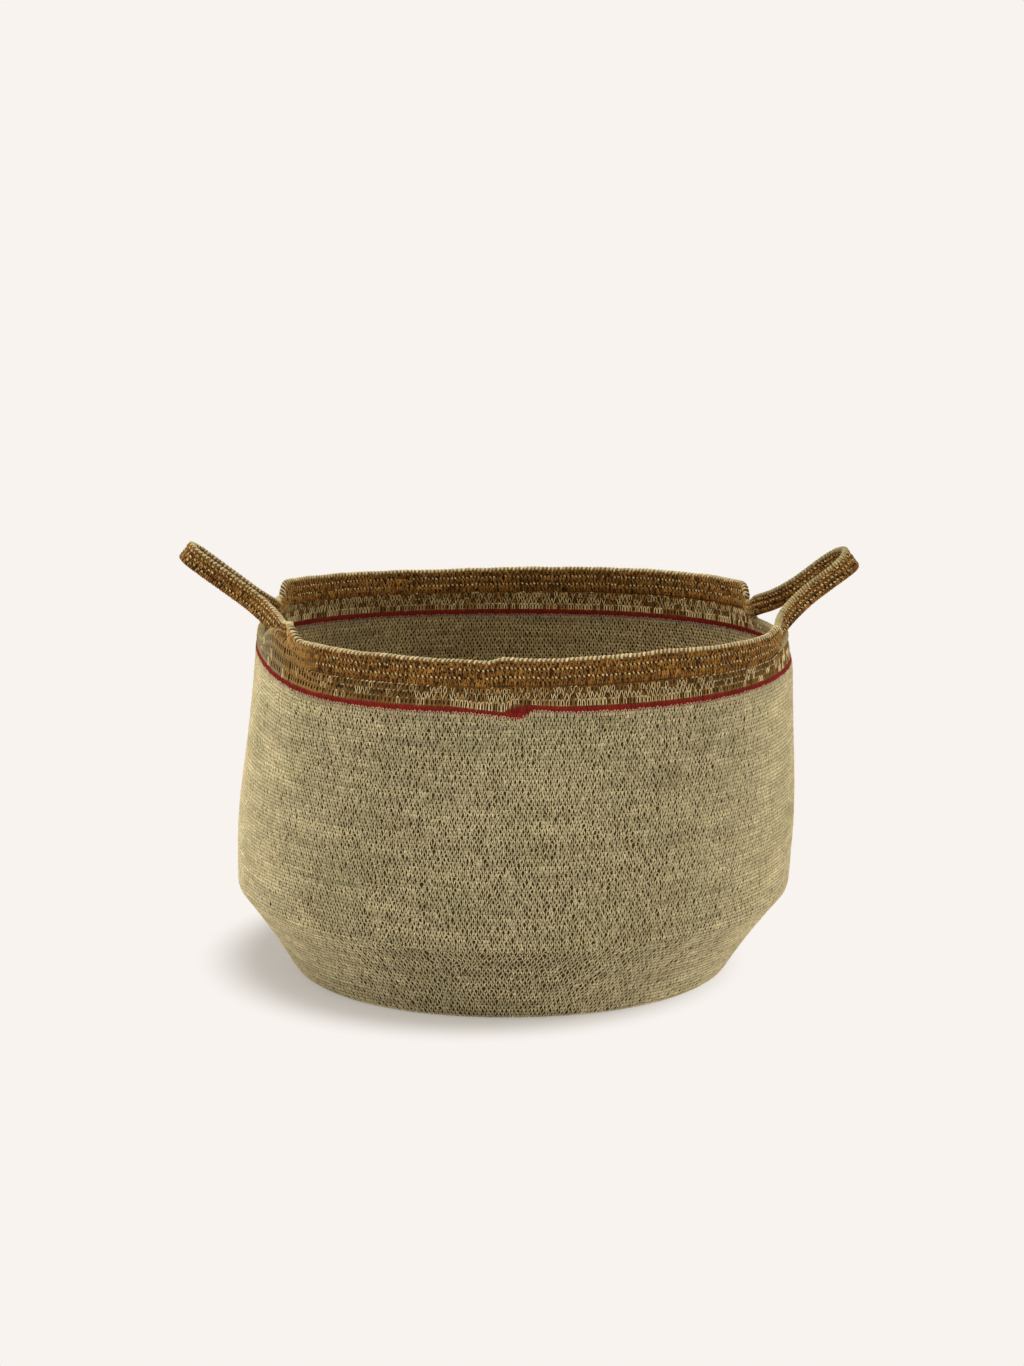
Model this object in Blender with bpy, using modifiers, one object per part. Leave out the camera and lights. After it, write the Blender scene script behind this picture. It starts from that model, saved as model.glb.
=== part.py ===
"""A coiled seagrass basket with a woven handle loop at each end.

The basket is one long coil of grass, stitched course on course. Its parts are the stretches of
that coil that differ: the base, the tapering wall, the round wall, one red course, three mixed
courses, three brown courses and the pale binding of the edge. At each end the brown courses and
their binding leave the rim and loop out as a handle, which bends at its two roots.

Metres, +Z up, +X from the left handle to the right one, origin under the middle of the base.
"""
import math

import bpy
from mathutils import Vector

# Base and tapering wall
BASE_RADIUS = 0.157
BASE_OVAL = 0.017
HEEL_RADIUS = 0.008
START_RADIUS = 0.018
CREASE_RADIUS = 0.2078
CREASE_HEIGHT = 0.063
TAPER_SAG = 0.0015

# Round wall
BELLY_RADIUS = 0.2085
BELLY_HEIGHT = 0.088
WALL_TOP = 0.2292
WALL_THICKNESS = 0.005

# Mouth, measured over the outside
MOUTH_HALF_LENGTH = 0.201
MOUTH_HALF_WIDTH = 0.181
MOUTH_CORNER = 0.008
MOUTH_SHIFT = 0.0105

# Courses of the rim
RED_DIAMETER = 0.0042
MIXED_DIAMETER = 0.0050
BROWN_DIAMETER = 0.0050
BINDING_DIAMETER = 0.0018
JOIN_GAP = 0.0003

# Handle loops: the left one is longer and narrower than the right one, with wider roots
LEFT_ROOT_HALF_SPACING = 0.098
LEFT_LOOP_REACH = 0.0955
LEFT_LOOP_HALF_WIDTH = 0.013
RIGHT_ROOT_HALF_SPACING = 0.078
RIGHT_LOOP_REACH = 0.0775
RIGHT_LOOP_HALF_WIDTH = 0.020
ROOT_STUB = 0.003
ROOT_EASE = 0.007
LOOP_SLOPE = math.radians(37.0)
LEG_START = 0.0425

# Courses of each kind
MIXED_COUNT = 3
BROWN_COUNT = 3
LEVEL_NAMES = ("lower", "middle", "upper")

# Steps of the round forms
ROUND_STEPS = 48
HEEL_STEPS = 4
TAPER_STEPS = 4
WALL_STEPS = 9
SIDE_STEPS = 20
TURN_STEPS = 7
LEG_STEPS = 2
TIP_STEPS = 5
TUBE_STEPS = 2
BINDING_STEPS = 1
BISECTION_STEPS = 40

# Mesh handling
MERGE_DISTANCE = 0.00005
SHARP_ANGLE = math.radians(35.0)
PIVOT_ARROW_SIZE = 0.02

# Finishes
GRASS = (0.36, 0.30, 0.17)
GRASS_DARK = (0.30, 0.25, 0.14)
MIXED = (0.30, 0.21, 0.10)
BROWN = (0.16, 0.09, 0.035)
RED = (0.30, 0.05, 0.04)
CREAM = (0.55, 0.47, 0.30)
FIBRE_ROUGHNESS = 0.75


def smooth_step(value):
    """Ease from 0 to 1 with level ends."""
    value = min(max(value, 0.0), 1.0)
    return value * value * (3.0 - 2.0 * value)


# Heights of the courses, worked out from the wall's top upwards

def stack_courses(bottom, diameter, count):
    """Centre heights of a pile of equal courses, and the height of its top."""
    centres = []
    top = bottom
    for _ in range(count):
        centres.append(top + JOIN_GAP + diameter / 2.0)
        top += JOIN_GAP + diameter
    return centres, top


RED_HEIGHTS, RED_TOP = stack_courses(WALL_TOP, RED_DIAMETER, 1)
MIXED_HEIGHTS, MIXED_TOP = stack_courses(RED_TOP, MIXED_DIAMETER, MIXED_COUNT)
BROWN_HEIGHTS, BROWN_TOP = stack_courses(MIXED_TOP, BROWN_DIAMETER, BROWN_COUNT)
BINDING_HEIGHTS, EDGE_TOP = stack_courses(BROWN_TOP, BINDING_DIAMETER, 1)
BROWN_PITCH = BROWN_DIAMETER + JOIN_GAP
BINDING_OFFSET = BINDING_HEIGHTS[0] - sum(BROWN_HEIGHTS) / BROWN_COUNT
PIVOT_HEIGHT = sum(BROWN_HEIGHTS) / BROWN_COUNT


# Outer line of the turned body

def heel_angle():
    """Slope of the taper, which runs tangent to the heel's arc and ends at the crease."""
    run = CREASE_RADIUS - BASE_RADIUS
    rise = CREASE_HEIGHT - HEEL_RADIUS
    tangent = math.sqrt(run * run + rise * rise - HEEL_RADIUS * HEEL_RADIUS)
    return math.atan2(rise, run) + math.atan2(HEEL_RADIUS, tangent)


def heel_point(angle):
    return (BASE_RADIUS + HEEL_RADIUS * math.sin(angle), HEEL_RADIUS * (1.0 - math.cos(angle)))


def taper_point(share):
    """A point of the slightly hollow taper, from the heel's end to the crease."""
    start = heel_point(heel_angle())
    sag = 4.0 * TAPER_SAG * share * (1.0 - share)
    radius = start[0] + (CREASE_RADIUS - start[0]) * share - sag * math.sin(heel_angle())
    height = start[1] + (CREASE_HEIGHT - start[1]) * share + sag * math.cos(heel_angle())
    return (radius, height)


def wall_radius(height):
    """Outer radius above the crease, before the mouth's oval."""
    mouth_radius = (MOUTH_HALF_LENGTH + MOUTH_HALF_WIDTH) / 2.0
    if height < BELLY_HEIGHT:
        share = (height - CREASE_HEIGHT) / (BELLY_HEIGHT - CREASE_HEIGHT)
        return CREASE_RADIUS + (BELLY_RADIUS - CREASE_RADIUS) * math.sin(share * math.pi / 2.0)
    share = smooth_step((height - BELLY_HEIGHT) / (EDGE_TOP - BELLY_HEIGHT))
    return BELLY_RADIUS + (mouth_radius - BELLY_RADIUS) * share


# The round body settles into the mouth's oval, square-cornered plan and leans a little

def settle(x, y, z):
    """Where a point of the turned body lies on the real, uneven basket."""
    angle = math.atan2(y, x)
    radius = math.hypot(x, y)
    base_share = max(0.0, 1.0 - z / CREASE_HEIGHT)
    radius *= 1.0 + BASE_OVAL * base_share * math.cos(2.0 * angle)
    share = max(0.0, (z - BELLY_HEIGHT) / (EDGE_TOP - BELLY_HEIGHT))
    oval = (MOUTH_HALF_LENGTH - MOUTH_HALF_WIDTH) / 2.0 * math.cos(2.0 * angle)
    corner = MOUTH_CORNER * (1.0 - math.cos(4.0 * angle)) / 2.0
    radius += share * (oval + corner)
    lean = MOUTH_SHIFT * max(0.0, (z - WALL_THICKNESS) / (EDGE_TOP - WALL_THICKNESS))
    return Vector((radius * math.cos(angle) + lean, radius * math.sin(angle), z))


def rim_point(angle, height, diameter):
    """The centre of a course that lies flush with the outside of the wall."""
    radius = wall_radius(height) - diameter / 2.0
    return settle(radius * math.cos(angle), radius * math.sin(angle), height)


def root_angle(height, diameter, distance):
    """Angle from +X at which a course passes a given distance beside the X axis."""
    low, high = 0.0, math.pi / 2.0
    for _ in range(BISECTION_STEPS):
        middle = (low + high) / 2.0
        if rim_point(middle, height, diameter).y < distance:
            low = middle
        else:
            high = middle
    return (low + high) / 2.0


# Scene and materials

def clear_scene():
    for item in list(bpy.data.objects):
        bpy.data.objects.remove(item, do_unlink=True)


def new_collection(name):
    collection = bpy.data.collections.new(name)
    bpy.context.scene.collection.children.link(collection)
    return collection


def finish_material(name, colour, roughness):
    material = bpy.data.materials.new(name)
    material.use_nodes = True
    shader = material.node_tree.nodes["Principled BSDF"]
    shader.inputs["Base Color"].default_value = (*colour, 1.0)
    shader.inputs["Roughness"].default_value = roughness
    shader.inputs["Metallic"].default_value = 0.0
    material.diffuse_color = (*colour, 1.0)
    return material


# Turned shapes

def settle_mesh(mesh):
    for vertex in mesh.vertices:
        vertex.co = settle(*vertex.co)
    mesh.update()


def turned_part(name, profile, colour, closed):
    """Turn a profile round Z with a Screw modifier, then settle it into the real plan."""
    mesh = bpy.data.meshes.new(name)
    edges = [(index, index + 1) for index in range(len(profile) - 1)]
    if closed:
        edges.append((len(profile) - 1, 0))
    mesh.from_pydata([(radius, 0.0, height) for radius, height in profile], edges, [])
    turned = bpy.data.objects.new(name, mesh)
    parts.objects.link(turned)
    screw = turned.modifiers.new("turn", "SCREW")
    screw.axis = "Z"
    screw.angle = 2.0 * math.pi
    screw.steps = ROUND_STEPS
    screw.render_steps = ROUND_STEPS
    screw.use_merge_vertices = True
    screw.merge_threshold = MERGE_DISTANCE
    graph = bpy.context.evaluated_depsgraph_get()
    settled = bpy.data.meshes.new_from_object(turned.evaluated_get(graph), depsgraph=graph)
    turned.modifiers.clear()
    turned.data = settled
    bpy.data.meshes.remove(mesh)
    settled.name = name
    settle_mesh(settled)
    settled.shade_smooth()
    settled.set_sharp_from_angle(angle=SHARP_ANGLE)
    settled.materials.clear()
    settled.materials.append(finish_material(name, colour, FIBRE_ROUGHNESS))
    return turned


def wall_part(name, line, colour):
    """A ring of wall. Its outer line runs upwards and its profile down the outside, up the inside."""
    trimmed = [list(point) for point in line]
    for end, neighbour in ((0, 1), (len(line) - 1, len(line) - 2)):
        run = line[neighbour][0] - line[end][0]
        rise = line[neighbour][1] - line[end][1]
        share = JOIN_GAP / 2.0 / math.hypot(run, rise)
        trimmed[end][0] += run * share
        trimmed[end][1] += rise * share
    outside = [(radius, height) for radius, height, _ in reversed(trimmed)]
    inside = []
    for radius, height, slope in trimmed:
        inner_radius = radius - WALL_THICKNESS * math.sin(slope)
        inside.append((inner_radius, height + WALL_THICKNESS * math.cos(slope)))
    return turned_part(name, outside + inside, colour, closed=True)


def make_base():
    turned_part(
        "base_start",
        [(0.0, WALL_THICKNESS), (START_RADIUS, WALL_THICKNESS), (START_RADIUS, 0.0), (0.0, 0.0)],
        GRASS_DARK,
        closed=False,
    )
    inner = START_RADIUS + JOIN_GAP
    outer = BASE_RADIUS - JOIN_GAP
    turned_part(
        "base_floor",
        [(outer, WALL_THICKNESS), (outer, 0.0), (inner, 0.0), (inner, WALL_THICKNESS)],
        GRASS_DARK,
        closed=True,
    )


def make_walls():
    slope = heel_angle()
    heel = []
    for step in range(HEEL_STEPS + 1):
        angle = slope * step / HEEL_STEPS
        heel.append((*heel_point(angle), angle))
    taper = [heel[-1]]
    for step in range(1, TAPER_STEPS):
        taper.append((*taper_point(step / TAPER_STEPS), slope))
    wall = []
    for step in range(WALL_STEPS + 1):
        height = CREASE_HEIGHT + (WALL_TOP - CREASE_HEIGHT) * step / WALL_STEPS
        wall.append((wall_radius(height), height, math.pi / 2.0))
    crease = (*wall[0][:2], (slope + math.pi / 2.0) / 2.0)
    taper.append(crease)
    wall[0] = crease
    wall_part("base_heel", heel, GRASS_DARK)
    wall_part("lower_wall", taper, GRASS)
    wall_part("upper_wall", wall, GRASS)


# Courses as round bundles on curves

def bundle(name, points, diameter, colour, detail, cyclic, pivot=None):
    """One course: a round bundle of grass along its centre line."""
    curve = bpy.data.curves.new(name, "CURVE")
    curve.dimensions = "3D"
    curve.bevel_depth = diameter / 2.0
    curve.bevel_resolution = detail
    curve.use_fill_caps = not cyclic
    spline = curve.splines.new("POLY")
    spline.points.add(len(points) - 1)
    origin = pivot.location if pivot else Vector((0.0, 0.0, 0.0))
    for place, point in zip(spline.points, points):
        place.co = (*(point - origin), 1.0)
    spline.use_cyclic_u = cyclic
    curve.materials.append(finish_material(name, colour, FIBRE_ROUGHNESS))
    course = bpy.data.objects.new(name, curve)
    course.parent = pivot
    parts.objects.link(course)
    return course


def full_course(name, height, diameter, colour):
    points = []
    for step in range(ROUND_STEPS):
        points.append(rim_point(2.0 * math.pi * step / ROUND_STEPS, height, diameter))
    return bundle(name, points, diameter, colour, TUBE_STEPS, cyclic=True)


def loop_sizes(side):
    """A handle's half root spacing, reach and half width: side is +1 right, -1 left."""
    if side > 0:
        return (RIGHT_ROOT_HALF_SPACING, RIGHT_LOOP_REACH, RIGHT_LOOP_HALF_WIDTH)
    return (LEFT_ROOT_HALF_SPACING, LEFT_LOOP_REACH, LEFT_LOOP_HALF_WIDTH)


def root_x(side):
    """Where along X the courses end at a handle's roots."""
    angle = root_angle(PIVOT_HEIGHT, BROWN_DIAMETER, loop_sizes(side)[0])
    if side < 0:
        angle = math.pi - angle
    return rim_point(angle, PIVOT_HEIGHT, BROWN_DIAMETER).x


def course_end(side, height):
    """The last two points of a course that ends at a root, the end itself first."""
    across = loop_sizes(side)[0]
    end = Vector((root_x(side), across + JOIN_GAP / 2.0, height))
    stub = Vector((root_x(side), across + ROOT_STUB, height))
    return [end, stub]


def side_course(name, front, height, diameter, colour, detail):
    """The stretch of a course between the two handles, along the front or the back."""
    first = root_angle(height, diameter, RIGHT_ROOT_HALF_SPACING + ROOT_EASE)
    last = math.pi - root_angle(height, diameter, LEFT_ROOT_HALF_SPACING + ROOT_EASE)
    points = course_end(1.0, height)
    for step in range(SIDE_STEPS + 1):
        points.append(rim_point(first + (last - first) * step / SIDE_STEPS, height, diameter))
    points += reversed(course_end(-1.0, height))
    if front:
        points = [Vector((point.x, -point.y, point.z)) for point in points]
    return bundle(name, points, diameter, colour, detail, cyclic=False)


def make_rim():
    full_course("red_course", RED_HEIGHTS[0], RED_DIAMETER, RED)
    for level, height in zip(LEVEL_NAMES, MIXED_HEIGHTS):
        full_course("mixed_course_" + level, height, MIXED_DIAMETER, MIXED)
    for face, front in (("front", True), ("back", False)):
        for level, height in zip(LEVEL_NAMES, BROWN_HEIGHTS):
            name = face + "_brown_course_" + level
            side_course(name, front, height, BROWN_DIAMETER, BROWN, TUBE_STEPS)
        name = face + "_edge_binding"
        side_course(name, front, BINDING_HEIGHTS[0], BINDING_DIAMETER, CREAM, BINDING_STEPS)


# Handle loops

def half_loop(side):
    """One half of a loop in its own plane, from a root to the tip: out, across, share of lean."""
    spacing, reach, half_width = loop_sizes(side)
    drawn_in = spacing - ROOT_STUB
    half = [(0.0, spacing - JOIN_GAP / 2.0, 0.0)]
    for step in range(TURN_STEPS + 1):
        turn = math.pi / 2.0 * step / TURN_STEPS
        out = LEG_START * (1.0 - math.cos(turn))
        across = drawn_in - (drawn_in - half_width) * math.sin(turn)
        half.append((out, across, smooth_step(step / TURN_STEPS)))
    leg_end = reach - half_width
    for step in range(1, LEG_STEPS):
        out = LEG_START + (leg_end - LEG_START) * step / LEG_STEPS
        half.append((out, half_width, 1.0))
    for step in range(TIP_STEPS + 1):
        turn = math.pi / 2.0 * step / TIP_STEPS
        out = leg_end + half_width * math.sin(turn)
        half.append((out, half_width * math.cos(turn), 1.0))
    return half


def loop_frames(side, pivot):
    """Places along the strap's middle, from the front root to the back, each with its upright."""
    half = half_loop(side)
    whole = [(out, -across, lean) for out, across, lean in half]
    whole += list(reversed(half))[1:]
    outward = Vector((side * math.cos(LOOP_SLOPE), 0.0, math.sin(LOOP_SLOPE)))
    across_axis = Vector((0.0, 1.0, 0.0))
    middle = [pivot.location + outward * out + across_axis * across for out, across, _ in whole]
    last = len(whole) - 1
    frames = []
    for index, place in enumerate(middle):
        tangent = (middle[min(index + 1, last)] - middle[max(index - 1, 0)]).normalized()
        if index in (0, last):
            tangent = across_axis
        lean = LOOP_SLOPE * whole[index][2]
        upright = Vector((-side * math.sin(lean), 0.0, math.cos(lean)))
        upright = (upright - tangent * upright.dot(tangent)).normalized()
        frames.append((place, upright))
    return frames


def make_handle(word, side):
    pivot = bpy.data.objects.new(word + "_handle_pivot", None)
    pivot.empty_display_type = "SINGLE_ARROW"
    pivot.empty_display_size = PIVOT_ARROW_SIZE
    pivot.location = (root_x(side), 0.0, PIVOT_HEIGHT)
    parts.objects.link(pivot)
    frames = loop_frames(side, pivot)
    for level, name in enumerate(LEVEL_NAMES):
        offset = (level - (BROWN_COUNT - 1) / 2.0) * BROWN_PITCH
        points = [place + upright * offset for place, upright in frames]
        bundle(
            word + "_handle_course_" + name,
            points,
            BROWN_DIAMETER,
            BROWN,
            TUBE_STEPS,
            cyclic=False,
            pivot=pivot,
        )
    points = [place + upright * BINDING_OFFSET for place, upright in frames]
    bundle(
        word + "_handle_binding",
        points,
        BINDING_DIAMETER,
        CREAM,
        BINDING_STEPS,
        cyclic=False,
        pivot=pivot,
    )
    return pivot


clear_scene()
parts = new_collection("seagrass_basket")
make_base()
make_walls()
make_rim()
left_pivot = make_handle("left", -1.0)
right_pivot = make_handle("right", 1.0)
bpy.context.view_layer.update()
print("edge top", round(EDGE_TOP, 5), "pivot height", round(PIVOT_HEIGHT, 5))
print("left pivot", tuple(round(value, 5) for value in left_pivot.location))
print("right pivot", tuple(round(value, 5) for value in right_pivot.location))
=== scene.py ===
"""The seagrass basket's look: every stitch of the coil laid over the CAD's walls, courses and handles.

Metres, +Z up, the CAD's frame. Angles run from +X, so that the front is at -90 degrees.
A place on the wall is an angle and a distance down from the wall's top, which is at the red course.
A place on the strap, the brown courses of the rim and the handles, is a distance along it and a drop from its
top edge in nominal millimetres.
"""

import math

import bpy
import numpy as np
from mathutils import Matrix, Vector


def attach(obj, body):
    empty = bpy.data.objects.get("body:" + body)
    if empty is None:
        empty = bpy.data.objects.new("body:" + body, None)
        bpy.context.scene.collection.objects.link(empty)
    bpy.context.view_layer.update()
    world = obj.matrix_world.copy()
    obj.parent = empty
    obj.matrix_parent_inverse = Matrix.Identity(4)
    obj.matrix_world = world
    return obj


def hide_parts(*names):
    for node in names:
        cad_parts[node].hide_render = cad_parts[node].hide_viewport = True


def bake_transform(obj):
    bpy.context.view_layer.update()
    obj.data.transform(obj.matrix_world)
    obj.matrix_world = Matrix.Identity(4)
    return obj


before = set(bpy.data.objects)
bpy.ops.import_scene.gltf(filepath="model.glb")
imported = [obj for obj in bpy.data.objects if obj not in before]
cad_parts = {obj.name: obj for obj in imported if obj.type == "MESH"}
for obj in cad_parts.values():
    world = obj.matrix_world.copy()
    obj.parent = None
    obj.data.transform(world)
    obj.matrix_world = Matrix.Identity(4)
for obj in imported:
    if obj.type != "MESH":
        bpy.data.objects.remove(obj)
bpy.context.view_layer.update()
rng = np.random.default_rng(11)
MM = 0.001
TURN = 2.0 * math.pi
UP = np.array([0.0, 0.0, 1.0])

# The CAD's sizes that the stitches follow
BASE_RADIUS = 0.157
BASE_OVAL = 0.017
BASE_CORNER = 2.6 * MM
HEEL_RADIUS = 0.008
CREASE_RADIUS = 0.2078
CREASE_HEIGHT = 0.063
TAPER_SAG = 0.0015
BELLY_RADIUS = 0.2085
BELLY_HEIGHT = 0.088
WALL_TOP = 0.2292
WALL_THICKNESS = 0.005
MOUTH_HALF_LENGTH = 0.201
MOUTH_HALF_WIDTH = 0.181
MOUTH_CORNER = 0.008
MOUTH_SHIFT = 0.0105
RED_TOP = 0.2337
MIXED_TOP = 0.2496
STRAP_HEIGHT = 0.2577
EDGE_TOP = 0.2676
ROOT_STUB = 0.003
ROOT_EASE = 0.007
LOOP_SLOPE = math.radians(37.0)
LEG_START = 0.0425
# Each handle's side, its front root's distance from the middle, its reach and half its width
LOOPS = {"left": (-1.0, 0.095, 0.0938, 0.0125), "right": (1.0, 0.078, 0.0790, 0.020)}
BACK_SPACINGS = {"left": 0.072, "right": 0.078}
# How far the wall is drawn in at a handle, from which height on, and over what rise
LEFT_DRAW = (3.2 * MM, 0.08, 0.14)
RIGHT_DRAW = (4.5 * MM, 0.222, 0.03)

# Stitches: heights of the rows, numbers round the basket
STITCH = 3.15 * MM
ROW = 2.6 * MM
BODY_STITCHES = 460
TAPER_ROW = 3.8 * MM
TAPER_STITCHES = 360
INSIDE_ROW = 2.7 * MM
INSIDE_STITCHES = 372
SEEN_ROWS = 22
MIXED_STITCHES = 400
STRAND_DEPTH = 0.75 * MM

# The strap: half its thickness, its edges over its middle, its courses' edges as drops
HALF_STRAP = 2.5 * MM
STRAP_TOP = EDGE_TOP - STRAP_HEIGHT
STRAP_BOTTOM = -7.9 * MM
STRAP_WIDTH = 17.8
COURSE_EDGES = (2.0, 6.7, 12.2, 17.8)

# The step where the red course's end slips under its start: degrees, then millimetres
JOG_ANGLE = -94.9
JOG_LAP = 2.2
JOG_LEFT_REACH = 14.0
JOG_RIGHT_REACH = 12.0
JOG_FALL = 3.8
JOG_RISE = 2.0

# How far rows are drawn up (lift, fill) or down (sag) near the handles, in millimetres
LEFT_LIFT = 13.0
RIGHT_LIFT = 4.0
LEFT_FILL = 13.0
LEFT_SAG = 7.0
RIGHT_FILL = 1.0
RIGHT_SAG = 7.5


def srgb(red, green, blue):
    """A colour given from 0 to 255, in the linear values that Blender takes."""
    value = np.array([red, green, blue], float) / 255.0
    return np.where(value <= 0.04045, value / 12.92, ((value + 0.055) / 1.055) ** 2.4)


STRAW = srgb(212, 196, 152)
STRAW_GREEN = srgb(200, 191, 142)
STRAW_TAN = srgb(204, 180, 130)
PIT_SHADE = srgb(74, 55, 28)
HOLE_SHADE = srgb(46, 29, 11)
CORE_SHADE = srgb(66, 42, 18)
BROWN = srgb(160, 112, 50)
BROWN_DARK = srgb(98, 62, 25)
ORANGE = srgb(186, 130, 58)
CREAM = srgb(232, 210, 156)
DOT = srgb(232, 202, 138)
OLIVE = srgb(190, 176, 122)
GOLD = srgb(190, 146, 80)
RED = srgb(146, 38, 31)
RED_DARK = srgb(112, 30, 22)


def smooth(value):
    """Eases from 0 to 1 while the value goes from 0 to 1."""
    value = np.clip(value, 0.0, 1.0)
    return value * value * (3.0 - 2.0 * value)


def band(value, start, ease_in, end, ease_out):
    """1 well between start and end, and eased to 0 at both."""
    return smooth((value - start) / ease_in) * smooth((end - value) / ease_out)


def hump(steps):
    """A round arch over the steps from 0 to 1."""
    return np.sqrt(np.maximum(0.0, 1.0 - (2.0 * steps - 1.0) ** 2 * 0.95))


def signed(degrees):
    """The same direction between -180 and 180 degrees."""
    return (degrees + 180.0) % 360.0 - 180.0


def unit(vectors):
    return vectors / np.maximum(np.linalg.norm(vectors, axis=-1, keepdims=True), 1e-12)


def line_run(line):
    """Distances along a line of points."""
    return np.concatenate([[0.0], np.cumsum(np.linalg.norm(np.diff(line, axis=0), axis=1))])


def toward(tint, goal, share):
    return tint + (goal - tint) * share


def spread(low, span, count):
    """A column of even chances between low and low + span."""
    return low + span * rng.random((count, 1))


def jitter(size, count):
    """A column of small errors about zero."""
    return rng.normal(0.0, size, (count, 1))


NOISE_CELLS = 32
NOISE_START = 40.0
NOISE_TABLE = rng.random((NOISE_CELLS, NOISE_CELLS, NOISE_CELLS))


def noise(points, size, shift=0.0):
    """Soft value noise from 0 to 1 at points (..., 3), in patches about this big."""
    place = points / size + NOISE_START + shift
    cell = np.floor(place).astype(int)
    part = place - cell
    part = part * part * (3.0 - 2.0 * part)
    total = 0.0
    for corner in range(8):
        step = np.array([corner & 1, corner >> 1 & 1, corner >> 2 & 1])
        index = (cell + step) % NOISE_CELLS
        weight = np.prod(np.where(step, part, 1.0 - part), axis=-1)
        total = total + NOISE_TABLE[index[..., 0], index[..., 1], index[..., 2]] * weight
    return total


def ring(angle, height=0.0):
    """Points of a unit ring, as level directions or as places of noise that closes round the basket."""
    return np.stack([np.cos(angle), np.sin(angle), height + 0.0 * angle], -1)


def noise_line(along, second=0.0, third=0.0):
    """Places of noise that runs along a line."""
    return np.stack([along, second + 0.0 * along, third + 0.0 * along], -1)


# The turned body's outer line, from the middle of the base up to the wall's top

def wall_radius(height):
    mouth_radius = (MOUTH_HALF_LENGTH + MOUTH_HALF_WIDTH) / 2.0
    low = np.clip((height - CREASE_HEIGHT) / (BELLY_HEIGHT - CREASE_HEIGHT), 0.0, 1.0)
    high = smooth((height - BELLY_HEIGHT) / (EDGE_TOP - BELLY_HEIGHT))
    lower = CREASE_RADIUS + (BELLY_RADIUS - CREASE_RADIUS) * np.sin(low * math.pi / 2.0)
    upper = BELLY_RADIUS + (mouth_radius - BELLY_RADIUS) * high
    return np.where(height < BELLY_HEIGHT, lower, upper)


def settle(x, y, z):
    """A point of the turned body, moved to the real one's oval, squarish, leaning shape."""
    angle = np.arctan2(y, x)
    radius = np.hypot(x, y)
    low = np.maximum(0.0, 1.0 - z / CREASE_HEIGHT)
    high = np.maximum(0.0, (z - BELLY_HEIGHT) / (EDGE_TOP - BELLY_HEIGHT))
    corners = (1.0 - np.cos(4.0 * angle)) / 2.0
    oval = (MOUTH_HALF_LENGTH - MOUTH_HALF_WIDTH) / 2.0 * np.cos(2.0 * angle)
    radius = radius * (1.0 + BASE_OVAL * low * np.cos(2.0 * angle))
    radius = radius + BASE_CORNER * corners * low
    radius = radius + high * (oval + MOUTH_CORNER * corners)
    for (depth, start, grows), toward_handle in ((LEFT_DRAW, -np.cos(angle)), (RIGHT_DRAW, np.cos(angle))):
        radius = radius - depth * smooth((z - start) / grows) * np.maximum(0.0, toward_handle) ** 6
    lean = MOUTH_SHIFT * np.maximum(0.0, (z - WALL_THICKNESS) / (EDGE_TOP - WALL_THICKNESS))
    return np.stack([radius * np.cos(angle) + lean, radius * np.sin(angle), z + 0.0 * x], axis=-1)


LINE_STEPS = 1200
LINE_ENDS = 8
LINE_SOFT = np.ones(13) / 13.0


def outer_line():
    """Distance down from the wall's top along the outside, and radius, height and outward slope there."""
    ahead, rise = CREASE_RADIUS - BASE_RADIUS, CREASE_HEIGHT - HEEL_RADIUS
    tangent = math.sqrt(ahead * ahead + rise * rise - HEEL_RADIUS * HEEL_RADIUS)
    slope = math.atan2(rise, ahead) + math.atan2(HEEL_RADIUS, tangent)
    base = np.linspace(0.0, BASE_RADIUS, 60)[:-1]
    turn = np.linspace(0.0, slope, 12)
    heel_radius = BASE_RADIUS + HEEL_RADIUS * np.sin(turn)
    heel_height = HEEL_RADIUS * (1.0 - np.cos(turn))
    share = np.linspace(0.0, 1.0, 60)[1:]
    sag = 4.0 * TAPER_SAG * share * (1.0 - share)
    taper_radius = heel_radius[-1] + (CREASE_RADIUS - heel_radius[-1]) * share - sag * math.sin(slope)
    taper_height = heel_height[-1] + (CREASE_HEIGHT - heel_height[-1]) * share + sag * math.cos(slope)
    rise = np.linspace(CREASE_HEIGHT, EDGE_TOP, 200)[1:]
    radius = np.concatenate([base, heel_radius, taper_radius, wall_radius(rise)])
    height = np.concatenate([0.0 * base, heel_height, taper_height, rise])
    run = np.concatenate([[0.0], np.cumsum(np.hypot(np.diff(radius), np.diff(height)))])
    even = np.linspace(0.0, run[-1], LINE_STEPS)
    radius, height = np.interp(even, run, radius), np.interp(even, run, height)
    for line in (radius, height):
        line[LINE_ENDS:-LINE_ENDS] = np.convolve(line, LINE_SOFT, "same")[LINE_ENDS:-LINE_ENDS]
    out = unit(np.stack([np.gradient(height), -np.gradient(radius)], axis=-1))
    rising = LINE_STEPS // 6
    down = np.interp(WALL_TOP, height[rising:], even[rising:]) - even
    return down[::-1], radius[::-1], height[::-1], out[::-1]


LINE_DOWN, LINE_RADIUS, LINE_HEIGHT, LINE_OUT = outer_line()

# How far the mouth's edge sags or stands, by angle, in millimetres
EDGE_ANGLES = (-180, -150, -135, -120, -108, -101, -98.5, -95.5, -88, -72, -60, -45, -30, 0, 60, 85, 105, 130, 180)
EDGE_LIFTS = (0, 0, -0.8, -1.0, -2.4, -3.0, -3.2, -0.6, -2.2, -0.8, 1.2, -0.4, -1.2, 0, 0.3, -0.2, -1.6, -0.8, 0)
# The direction about which the left rows are drawn up, and the reach to the front, the back and at the right
LIFT_MIDDLE = 172.0
LIFT_REACHES = (32.0, 38.0, 40.0)
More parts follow.
